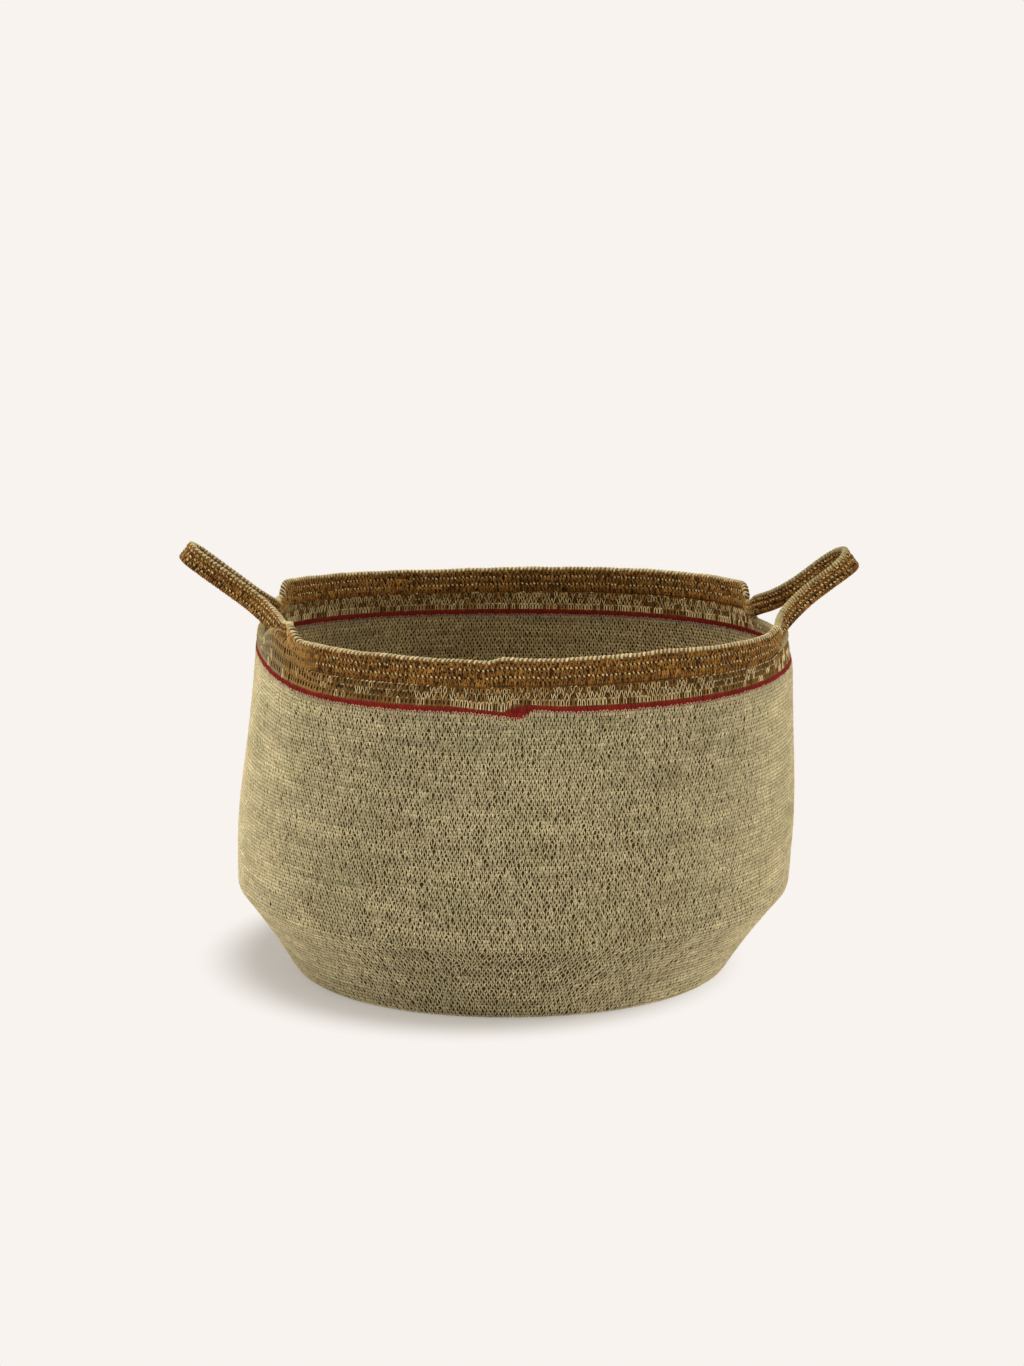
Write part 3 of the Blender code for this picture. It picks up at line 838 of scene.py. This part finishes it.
bundle = Bundle()
for inside in (False, True):
    turned = np.linspace(-JOG_LAP, 360.0 + JOG_LAP, RED_STITCHES) + rng.normal(0.0, 0.05, RED_STITCHES)
    mix = rng.random((RED_STITCHES, 1)) * 0.7 + 0.3 * noise(noise_line(turned / 6.0), 1.0)[:, None]
    # The inside red stitches are painted darker, 0.78: painted shade inside the mouth.
    tint = (RED * mix + RED_DARK * (1.0 - mix)) * (0.78 if inside else 1.0)
    rise = JOG_RISE * smooth(1.0 - turned / JOG_RIGHT_REACH)
    shift = (rise - JOG_FALL * smooth(1.0 - (360.0 - turned) / JOG_LEFT_REACH)) * MM
    lap = 0.35 * MM * smooth(1.0 - np.abs(turned - 360.0) / (JOG_LAP + 1.0))
    top = RED_LOW + (RED_HIGH - RED_LOW) * (0.45 + 0.55 * smooth((turned + JOG_LAP) / 5.0))
    foot = RED_LOW + (RED_HIGH - RED_LOW) * 0.5 * smooth(1.0 - (360.0 + JOG_LAP - turned) / 3.0)
    ring_strands(
        bundle, np.radians(turned + JOG_ANGLE), (foot[:, None], top[:, None]), (lap - 0.15 * MM)[:, None],
        1.55 * MM, 0.5 * MM, tint, inside, 0.5 * MM, 0.62, shift=shift[:, None],
    )
bundle.make("red_stitches", ["red_course"], "red_grass")


def root_tones(angle):
    """Shares of smooth golden wraps beside the left front root, and of pale wraps between a handle's roots."""
    degrees = np.degrees(angle) % 360.0
    degrees = degrees + rng.normal(0.0, 1.6, degrees.shape)
    golden = band(degrees, 195.0, 12.0, 232.0, 16.0)
    pale = band(degrees, 148.0, 14.0, 210.0, 12.0)
    return golden[:, None], np.maximum(pale, smooth((21.0 - np.abs(signed(degrees))) / 6.0))[:, None]


def dotted_share(angle):
    """Toward the sides the mixed rows show as pale dotted lines more than as loops."""
    degrees = np.degrees(angle) % 360.0
    return np.maximum(band(degrees, 212.0, 12.0, 256.0, 20.0), smooth((degrees - 300.0) / 16.0))


def side_wraps(bundle, first, last):
    """Pale stitches over the wall's top edge where it runs free under a handle."""
    count = int((last - first) * 0.19 / (STITCH * 0.62))
    angle = np.linspace(first, last, count)[:, None] + jitter(0.002, count)
    turn = np.radians(np.linspace(115.0, -115.0, 9))
    down = -(MIXED_TOP - WALL_TOP) + 2.0 * MM - 2.6 * MM * np.cos(turn)
    angle = angle + 0.004 * np.sin(turn)
    points = on_wall(angle, down, -2.5 * MM + 2.75 * MM * np.sin(turn))
    normals = unit(ring(angle) * np.sin(turn)[:, None] + UP * np.cos(turn)[:, None])
    tint = toward(STRAW_TAN, OLIVE, rng.random((count, 1))) * spread(0.52, 0.28, count)
    golden = root_tones(angle[:, 0])[0]
    tint = toward(tint, GOLD * spread(0.62, 0.25, count), golden)
    bundle.strands(points, normals, 1.85 * MM, 0.5 * MM, tint, 0.62)


def mixed_bundle(inside):
    """The three mixed courses on one face: brown wraps, dark dabs painted as the shade of the holes, pale or quiet
    loops, dots along the seams.
    """
    bundle = Bundle()
    # The inside courses are painted 1.3 times lighter: painted light inside the mouth.
    painted_light = 1.3 if inside else 1.0
    count, step = MIXED_STITCHES, TURN / MIXED_STITCHES
    for level in range(3):
        low, high = -MIXED_EDGES[level] * MM, -MIXED_EDGES[level + 1] * MM
        base = (np.arange(count) + 0.5 * (level % 2) + rng.normal(0.0, 0.10, count)) * step
        where = ring(base, level) * 0.1
        side = np.clip(noise(where, 0.03, 12.0) * 1.6 - 0.5, 0.0, 1.0)[:, None]
        golden, pale = root_tones(base)
        dotted = dotted_share(base)
        foot = low + (1.6 * MM if level == 0 else 0.0)
        for offset, end, width in ((0.5, high, 1.5 * MM), (0.0, low + (high - low) * 0.46, 1.45 * MM)):
            pick = rng.random((count, 1))
            tint = toward(BROWN_DARK * 0.7, BROWN * 0.95, rng.random((count, 1)))
            tint = np.where(pick < 0.08, ORANGE * 0.95, tint)
            tint = np.where(pick > 0.92, BROWN_DARK * 0.6, tint)
            tint = toward(tint, OLIVE * 0.7, side * 0.15)
            own = spread(0.85, 0.2, count)
            tint = toward(tint, GOLD * 0.62 * own, 0.6 * dotted[:, None])
            tint = toward(tint, GOLD * 0.86 * own, golden * 0.9)
            tint = toward(tint, STRAW_TAN * 0.6 * own, pale)
            angles = base + offset * step
            ring_strands(
                bundle, angles, (foot, end), -0.75 * MM, width, 0.45 * MM, tint * painted_light, inside, 0.65 * MM, 0.45
            )
        strong = np.clip(0.25 + noise(where, 0.008, 33.0) + rng.normal(0.0, 0.2, count), 0.1, 1.0)
        strong = (strong * (1.0, 1.0, 0.8)[level])[:, None]
        plain = np.minimum(golden + pale, 1.0)[:, 0]
        kept = rng.random(count) < 1.0 - 0.92 * plain
        bright = (rng.random(count) < (0.74, 0.80, 0.62)[level] * (1.0 - 0.5 * dotted))[:, None]
        quiet = toward(BROWN * 0.45, GOLD * 0.72, rng.random((count, 1)))
        tint = np.where(bright, toward(BROWN, CREAM * 1.32, strong), quiet)[kept] * painted_light
        # Dark stitches set into the courses: painted shade of the holes.
        holes = base[rng.random(count) < 0.85 * (1.0 - plain)] + (0.5 * step if level == 1 else 0.0)
        width = spread(1.4, 0.4, len(holes)) * MM * np.array([0.5, 0.9, 1.0, 0.9, 0.5])
        ring_strands(
            bundle, holes, (low + 0.28 * (high - low), low + 0.82 * (high - low)), 0.06 * MM, width, 0.3 * MM,
            HOLE_SHADE * spread(0.6, 0.9, len(holes)), inside, 0.18 * MM, 0.8,
        )
        angles = base[kept]
        vees = rng.random(len(angles)) < 0.5 if level == 2 else np.full(len(angles), level == 1)
        reach = (0.0, 0.4, 0.9)[level] * MM
        width = (0.5, 0.5, 0.46)[level] * MM
        for shape, few, half_width, sunk in ((VEE, vees, VEE_HALF, 0.0), (ARCH, ~vees, ARCH_HALF, 0.5)):
            if few.any():
                ends = (low - sunk * MM, high + reach)
                loops(bundle, angles[few], ends, shape, half_width, LOOP_OUT, width, tint[few], inside)
    for level in (1, 2, 3):
        angles = (np.arange(count) + rng.normal(0.0, 0.12, count)) * step
        golden, pale = root_tones(angles)
        share = toward((0.62, 0.62, 0.12)[level - 1], 0.92, dotted_share(angles))
        bright = rng.random(count) < share * (1.0 - np.minimum(golden + pale, 1.0)[:, 0])
        edge = -MIXED_EDGES[level] * MM
        tint = np.where(bright[:, None], CREAM * 1.06, BROWN * 0.9) * spread(0.5, 0.5, count)
        tint = toward(tint, GOLD * 0.8, golden * 0.9)
        tint = toward(tint, STRAW_TAN * 0.62, pale)
        ring_strands(
            bundle, angles, (edge + 0.4 * MM, edge - 0.4 * MM), -0.3 * MM, 0.8 * MM, 0.3 * MM, tint * painted_light,
            inside, 0.4 * MM, slant=1.7 * MM,
        )
    return bundle


# The body's top loops, which reach up over the red course
for name, inside in (("body_loops_outside", False), ("body_loops_inside", True)):
    bundle = Bundle()
    angles = (np.arange(BODY_STITCHES) + rng.normal(0.0, 0.08, BODY_STITCHES)) / BODY_STITCHES * TURN
    # The inside loops are painted darker, 0.75: painted shade inside the mouth.
    tint = STRAW * spread(0.72, 0.35, BODY_STITCHES) * (0.75 if inside else 1.0)
    loops(bundle, angles, (3.9 * MM, 0.3 * MM), ARCH, 0.29 * STITCH, 0.42 * MM, 0.58 * MM, tint, inside)
    bundle.make(name, ["upper_wall"], "seagrass_body")

bundle = Bundle()
for roots in ((2, 1), (0, 3)):
    first, last = [math.atan2(*path_pick(PATH_CENTRE, ROOTS[root])[1::-1]) % TURN for root in roots]
    side_wraps(bundle, first - 0.02, (last if last > first else last + TURN) + 0.02)
bundle.make("side_edge_wraps", ["mixed_course_upper"], "mixed_grass")

mixed_nodes = ["mixed_course_lower", "mixed_course_middle", "mixed_course_upper"]
for name, inside in (("mixed_stitches_outside", False), ("mixed_stitches_inside", True)):
    mixed_bundle(inside).make(name, mixed_nodes, "mixed_grass")

# The strap's brown courses, dots, edge beads and core
# The strap's far face is painted 1.05 times lighter: painted light.
FAR_FACE_PAINTED_LIGHT = 1.05
FULLY_TAN = 0.9
TAN_REACH = 34.0 * MM
# A strap's core as drops and places out, once round
CORE_DROPS = (0.6, 1.6, 4.4, 6.7, 9.4, 12.2, 15.0)
CORE_OUTS = (0.9, 1.8, 1.9, 1.25, 1.9, 1.25, 1.9, 1.0)


def strap_strands(bundle, along, drop, out, normal_out, normal_up, width, lift, tint, edge=0.55):
    """Strands on the strap, whose normals are given as shares of its outward and upright directions."""
    normal = path_pick(PATH_OUT, along) * np.asarray(normal_out)[..., None]
    normal = unit(normal + path_pick(PATH_UP, along) * np.asarray(normal_up)[..., None])
    bundle.strands(on_strap(along, drop, out), normal, width, lift, tint, edge)


def brown_tint(along, face, level):
    """Each wrap's brown: dark, plain or orange by chance, in soft patches along the strap."""
    patch = noise(noise_line(along, level * 0.02, face), 0.018, 5.0)[:, None]
    pick = rng.random((len(along), 1))
    tint = toward(BROWN_DARK, BROWN, np.clip(rng.random((len(along), 1)) * 0.8 + patch * 0.5 - 0.1, 0.0, 1.0))
    tint = np.where(pick < 0.04 + 0.14 * patch, ORANGE * (0.7 + 0.3 * patch), tint)
    return np.where(pick > 0.91, BROWN_DARK * 0.6, tint)


def brown_wraps(bundle, along, face, level, on_handle, painted_light):
    """One course of brown wraps on one face, in two staggered half rows; the lowest of a handle goes all round."""
    low, high = COURSE_EDGES[level], COURSE_EDGES[level + 1]
    gap, nearest = root_distance(along)
    tan = ROOT_TANS[nearest]
    reach = np.where(tan > FULLY_TAN, TAN_REACH, 20.0 * MM)
    near = (smooth(1.0 - (np.abs(gap) - 6.0 * MM) / reach) * tan)[:, None]
    parts = []
    if on_handle and level == 2:
        if face < 0:
            return
        turn = np.linspace(0.5 * math.pi, -1.5 * math.pi, 11)[1:-1]
        drop = (low + high) / 2.0 - (high - low) / 2.0 * np.sin(turn)
        parts.append((drop, HALF_STRAP * np.cos(turn), np.cos(turn), np.sin(turn), 0.0))
    else:
        for half in (0, 1):
            steps = np.linspace(0.0, 0.56, 4) + 0.44 * half
            out = face * (1.45 + 0.95 * hump(steps)) * MM
            parts.append((low + (high - low) * steps, out, face, 0.4 * (1.0 - 2.0 * steps), 0.5 * half))
    for drop, out, normal_out, normal_up, offset in parts:
        # The wraps' colour is scaled by painted light: lighter on the far face and on the left handle.
        tint = brown_tint(along, face, level + offset) * painted_light
        tint = toward(tint, GOLD * 0.92 * painted_light * spread(0.8, 0.4, len(along)), near)
        shown = (rng.random(len(along)) < 0.985) | (near[:, 0] > 0.3)
        wobble = jitter(0.14, len(along)) + offset
        places = (along[:, None] + wobble * STITCH / 2.0)[shown]
        width = np.clip(1.38 + jitter(0.2, len(places)), 0.9, 1.9) * MM
        strap_strands(bundle, places, drop, out, normal_out, normal_up, width, 0.5 * MM, tint[shown])


def dot_line(bundle, start, end, face, drop_at, phase, slope, colour, seen_share, size):
    """One broken line of short stitches, or of dark dabs painted as the shade of the holes between them."""
    count = int((end - start) / STITCH)
    along = start + (np.arange(count) + 0.5 + phase) * (end - start) / count
    along = along + rng.normal(0.0, 0.28, count) * MM
    gap, nearest = root_distance(along)
    seen = noise(noise_line(along, drop_at, face), 0.02, 45.0) + 0.5 * rng.random(count) > 1.25 - seen_share
    bare = np.where(gap < 0.0, TAN_REACH, 10.0 * MM)
    seen &= np.abs(gap) > np.where(ROOT_TANS[nearest] > FULLY_TAN, bare, 5.0 * MM)
    along = along[seen]
    count = len(along)
    tint = colour * spread(0.45, 0.6, count)
    steps = np.linspace(-1.0, 1.0, 5)
    tall = size * spread(0.62, 0.3, count)
    drop = drop_at + jitter(0.18, count) + tall * steps
    out = face * (2.25 + 0.30 * (1.0 - steps ** 2)) * MM
    width = np.array([0.6, 1.2, 1.4, 1.2, 0.6]) * spread(0.75, 0.5, count) * size * MM
    strap_strands(
        bundle, along[:, None] - face * slope * steps, drop, out, face, -0.4 * steps, width, 0.4 * MM, tint, 0.7
    )


def fill_strap(bundle, start, end, on_handle, dots, holes, tone):
    """The brown wraps, dots and dark dabs of painted hole shade on both faces."""
    count = int((end - start) / STITCH * 2.0)
    along = start + (np.arange(count) + 0.5) * (end - start) / count
    slope = (0.95 if on_handle else 0.5) * MM
    # The far face's wraps and dots are painted lighter: painted light.
    for face, painted_light in ((1.0, 1.0), (-1.0, FAR_FACE_PAINTED_LIGHT)):
        colour, hole_shade = DOT * (0.85 * tone if on_handle else 1.0) * painted_light, HOLE_SHADE * 0.6 * painted_light
        for level in range(3):
            brown_wraps(bundle, along, face, level, on_handle, tone * painted_light)
        for line, drop_at in enumerate(dots):
            dot_line(bundle, start, end, face, drop_at, 0.25 * line, slope, colour, 0.85, 1.0)
            dot_line(bundle, start, end, face, drop_at, 0.25 * line + 0.5, 0.0, hole_shade, 0.85, 1.0)
        for line, drop_at in enumerate(holes):
            dot_line(bundle, start, end, face, drop_at, 0.4 * line, 0.0, hole_shade, 0.95, 1.2)


def edge_beads(bundle, start, end, pitch, width, depth, colour, slant):
    """The pale whipping over the top edge, with dark gaps between its turns."""
    fine = np.linspace(start, end, int((end - start) / (0.4 * MM)))
    run = line_run(on_strap(fine, 0.0, 0.0))
    count = int(run[-1] / pitch)
    along = np.interp((np.arange(count) + 0.5) * run[-1] / count + rng.normal(0.0, 0.2, count) * MM, run, fine)
    steep = (strap_edges(along + 0.5 * MM)[0] - strap_edges(along - 0.5 * MM)[0]) / MM
    steep = np.clip(steep, -2.5, 2.5)[:, None]
    stretch = np.sqrt(1.0 + steep ** 2)
    turn = np.radians(np.linspace(100.0, -100.0, 9))
    deep = depth * (1.0 + jitter(0.12, count))
    down = deep - (deep + 0.05) * np.cos(turn)
    places = along[:, None] + slant / stretch * np.sin(turn) + steep / stretch * down * MM
    tint = colour * spread(0.62, 0.42, count)
    tint = toward(tint, STRAW_TAN * 0.8, 0.5 * rng.random((count, 1)))
    thick = width * np.clip(1.0 + jitter(0.12, count), 0.7, 1.3) * (0.75 + 0.25 * np.cos(turn))
    thick = thick * (1.0 + 0.3 * np.minimum(np.abs(steep), 1.0))
    across, up = np.sin(turn), np.cos(turn)
    strap_strands(bundle, places, down * stretch, 2.6 * MM * across, across, up, thick, 0.6 * MM, tint, 0.6)


def strap_core(bundle, start, end, on_handle):
    """The coil core under the wraps, coloured dark as painted shade between them, and paler near its top edge."""
    along = np.linspace(start, end, max(int((end - start) / (2.5 * MM)), 8))
    drops = CORE_DROPS + (17.0 if on_handle else 20.5,)
    drop = np.array(drops + drops[::-1])
    out = np.array(CORE_OUTS + tuple(-place for place in CORE_OUTS[::-1])) * MM
    # Painted shade: the core shows dark between the wraps, less dark under the beads.
    shade = np.where((drop < 4.0)[:, None], GOLD * 0.32, CORE_SHADE)
    bundle.sheet(on_strap(along[:, None], drop, out), shade)


STRAPS = (
    ("front_rim", FRONT_START, LEFT_START),
    ("left_handle_front", LEFT_START, LEFT_TIP),
    ("left_handle_back", LEFT_TIP, BACK_START),
    ("back_rim", BACK_START, RIGHT_START),
    ("right_handle_back", RIGHT_START, RIGHT_TIP),
    ("right_handle_front", RIGHT_TIP, PATH_LENGTH),
)
# The beads' pitch, width, depth, colour and slant
BEADS = (STITCH, 2.15 * MM, 1.9, CREAM, 1.2 * MM)
RIGHT_BEADS = {
    "right_handle_front": (2.3 * MM, 2.1 * MM, 2.9, OLIVE, 0.6 * MM),
    "right_handle_back": (2.5 * MM, 2.1 * MM, 2.2, OLIVE * 0.72, 0.8 * MM),
}
# Drops of the lines of dots and of painted hole shade, on a handle and on the rim
LINE_DROPS = {True: ((4.6, 8.8, 12.9), ()), False: ((6.7, 12.2), (4.0, 9.4, 15.2))}
# A handle's strap bends over the stretch from before its root to beyond it
BEND_BEFORE = 6.0 * MM
BEND_BEYOND = 16.0 * MM
for name, start, end in STRAPS:
    body, course, binding = "basket", "_brown_course", "_edge_binding"
    word = name.split("_")[0]
    on_handle = word in LOOPS
    if on_handle:
        side, spacing = LOOPS[word][:2]
        x = root_x(side, spacing)
        face = -1.0 if name.endswith("front") else 1.0
        if face > 0:
            spacing = BACK_SPACINGS[word]
        begin = (x, face * (spacing + BEND_BEFORE), STRAP_HEIGHT)
        finish = (x, face * (spacing - BEND_BEYOND), STRAP_HEIGHT)
        body, course, binding = ("basket", word + "_handle", begin, finish), "_handle_course", "_handle_binding"
    bundle = Bundle()
    strap_core(bundle, start, end, on_handle)
    # The left handle's wraps and dots are painted lighter, 1.2 against 1.1: painted light on the lit handle.
    fill_strap(bundle, start, end, on_handle, *LINE_DROPS[on_handle], 1.2 if word == "left" else 1.1)
    nodes = [word + course + level for level in ("_lower", "_middle", "_upper")]
    bundle.make(name + "_strap", nodes, "brown_grass", body)
    bundle = Bundle()
    edge_beads(bundle, start, end, *RIGHT_BEADS.get(name, BEADS))
    bundle.make(name + "_beads", [word + binding], "cream_binding", body)

# Floor and light
PAPER = srgb(248, 243, 238)
FLOOR_GLOW = 0.34
FLOOR_ALBEDO = 0.9
FADE_START = 0.158
FADE_END = 0.212
FADE_CENTRE = (-0.03, 0.0, 0.0)
PAPER_REACH = 30.0
BACK_DISTANCE = 9.0
BACK_HEIGHT = 4.0
FLOOR_Z = -0.4 * MM


def paper_sheet(name, material, near, far):
    """A sheet as wide as the paper, from one (y, z) to another."""
    corners = [(side * PAPER_REACH, *end) for side, end in ((-1, near), (1, near), (1, far), (-1, far))]
    mesh = bpy.data.meshes.new(name)
    mesh.from_pydata(corners, [], [(0, 1, 2, 3)])
    mesh.materials.append(material)
    sheet = bpy.data.objects.new(name, mesh)
    bpy.context.scene.collection.objects.link(sheet)


def paper_material():
    """White paper that takes a soft shadow near the basket and is evenly bright farther out."""
    material, nodes, links, shader = new_material("paper", 1.0, 0.0)
    shader.inputs["Base Color"].default_value = (*(PAPER * FLOOR_ALBEDO), 1.0)
    glow = new_node(nodes, "Emission", Color=(*PAPER, 1.0))
    near = new_node(nodes, "TexCoord")
    away = new_node(nodes, "VectorMath")
    away.operation = "DISTANCE"
    away.inputs[1].default_value = FADE_CENTRE
    fade = new_node(nodes, "MapRange", From_Min=FADE_START, From_Max=FADE_END, To_Min=FLOOR_GLOW, To_Max=1.0)
    fade.interpolation_type = "SMOOTHSTEP"
    mix = new_node(nodes, "MixShader")
    links.new(near.outputs["Object"], away.inputs[0])
    links.new(away.outputs["Value"], fade.inputs["Value"])
    links.new(fade.outputs["Result"], mix.inputs["Fac"])
    links.new(shader.outputs["BSDF"], mix.inputs[1])
    links.new(glow.outputs["Emission"], mix.inputs[2])
    links.new(mix.outputs["Shader"], nodes["Material Output"].inputs["Surface"])
    return material


def sun(name, azimuth, elevation, strength, width, skips=()):
    """A soft lamp from an azimuth (0 is the front, 90 the right) and a height, in degrees, that skips some pieces."""
    light = bpy.data.lights.new(name, "SUN")
    light.energy = strength
    light.angle = math.radians(width)
    lamp = bpy.data.objects.new(name, light)
    bpy.context.scene.collection.objects.link(lamp)
    turn, rise = math.radians(azimuth), math.radians(elevation)
    toward_lamp = Vector((math.sin(turn) * math.cos(rise), -math.cos(turn) * math.cos(rise), math.sin(rise)))
    lamp.rotation_euler = toward_lamp.to_track_quat("Z", "Y").to_euler()
    if not skips:
        return
    receivers = bpy.data.collections.new(name + "_receivers")
    for skipped in skips:
        receivers.objects.link(bpy.data.objects[skipped])
    for link in receivers.collection_objects:
        link.light_linking.link_state = "EXCLUDE"
    lamp.light_linking.receiver_collection = receivers


paper = paper_material()
paper_sheet("floor", paper, (-PAPER_REACH, FLOOR_Z), (BACK_DISTANCE, FLOOR_Z))
paper_sheet("back_paper", paper, (BACK_DISTANCE, FLOOR_Z), (BACK_DISTANCE, BACK_HEIGHT))
world = bpy.data.worlds.new("studio")
bpy.context.scene.world = world
world.use_nodes = True
backdrop = world.node_tree.nodes["Background"]
backdrop.inputs["Color"].default_value = (*PAPER, 1.0)
backdrop.inputs["Strength"].default_value = 0.5
INNER = ("inside_net_upper", "inside_net_middle", "inside_net_lower", "body_loops_inside", "mixed_stitches_inside")
sun("key", 20.0, 55.0, 0.65, 50.0)
sun("left_side", -95.0, 46.0, 2.05, 50.0, ("floor",))
sun("right_side", 60.0, 36.0, 0.75, 50.0, ("floor",) + INNER)
bpy.context.scene.view_settings.view_transform = "Standard"

# Camera at the photograph's angle
VIEW_TURN = math.radians(4.0)
VIEW_DISTANCE = 2.135
VIEW_SHIFT = 0.0014
VIEW_HEIGHT = 0.667
VIEW_PITCH = 0.2107
VIEW_FOCUS = 2914.0
PHOTO_WIDTH = 1024.0
lens = bpy.data.cameras.new("view")
camera = bpy.data.objects.new("view", lens)
bpy.context.scene.collection.objects.link(camera)
lens.sensor_fit = "HORIZONTAL"
lens.sensor_width = 36.0
lens.lens = VIEW_FOCUS * 36.0 / PHOTO_WIDTH
camera.location = (
    math.cos(VIEW_TURN) * VIEW_SHIFT - math.sin(VIEW_TURN) * VIEW_DISTANCE,
    -math.sin(VIEW_TURN) * VIEW_SHIFT - math.cos(VIEW_TURN) * VIEW_DISTANCE,
    VIEW_HEIGHT,
)
camera.rotation_euler = (math.pi / 2.0 - VIEW_PITCH, 0.0, -VIEW_TURN)
bpy.context.scene.camera = camera

bpy.context.view_layer.update()
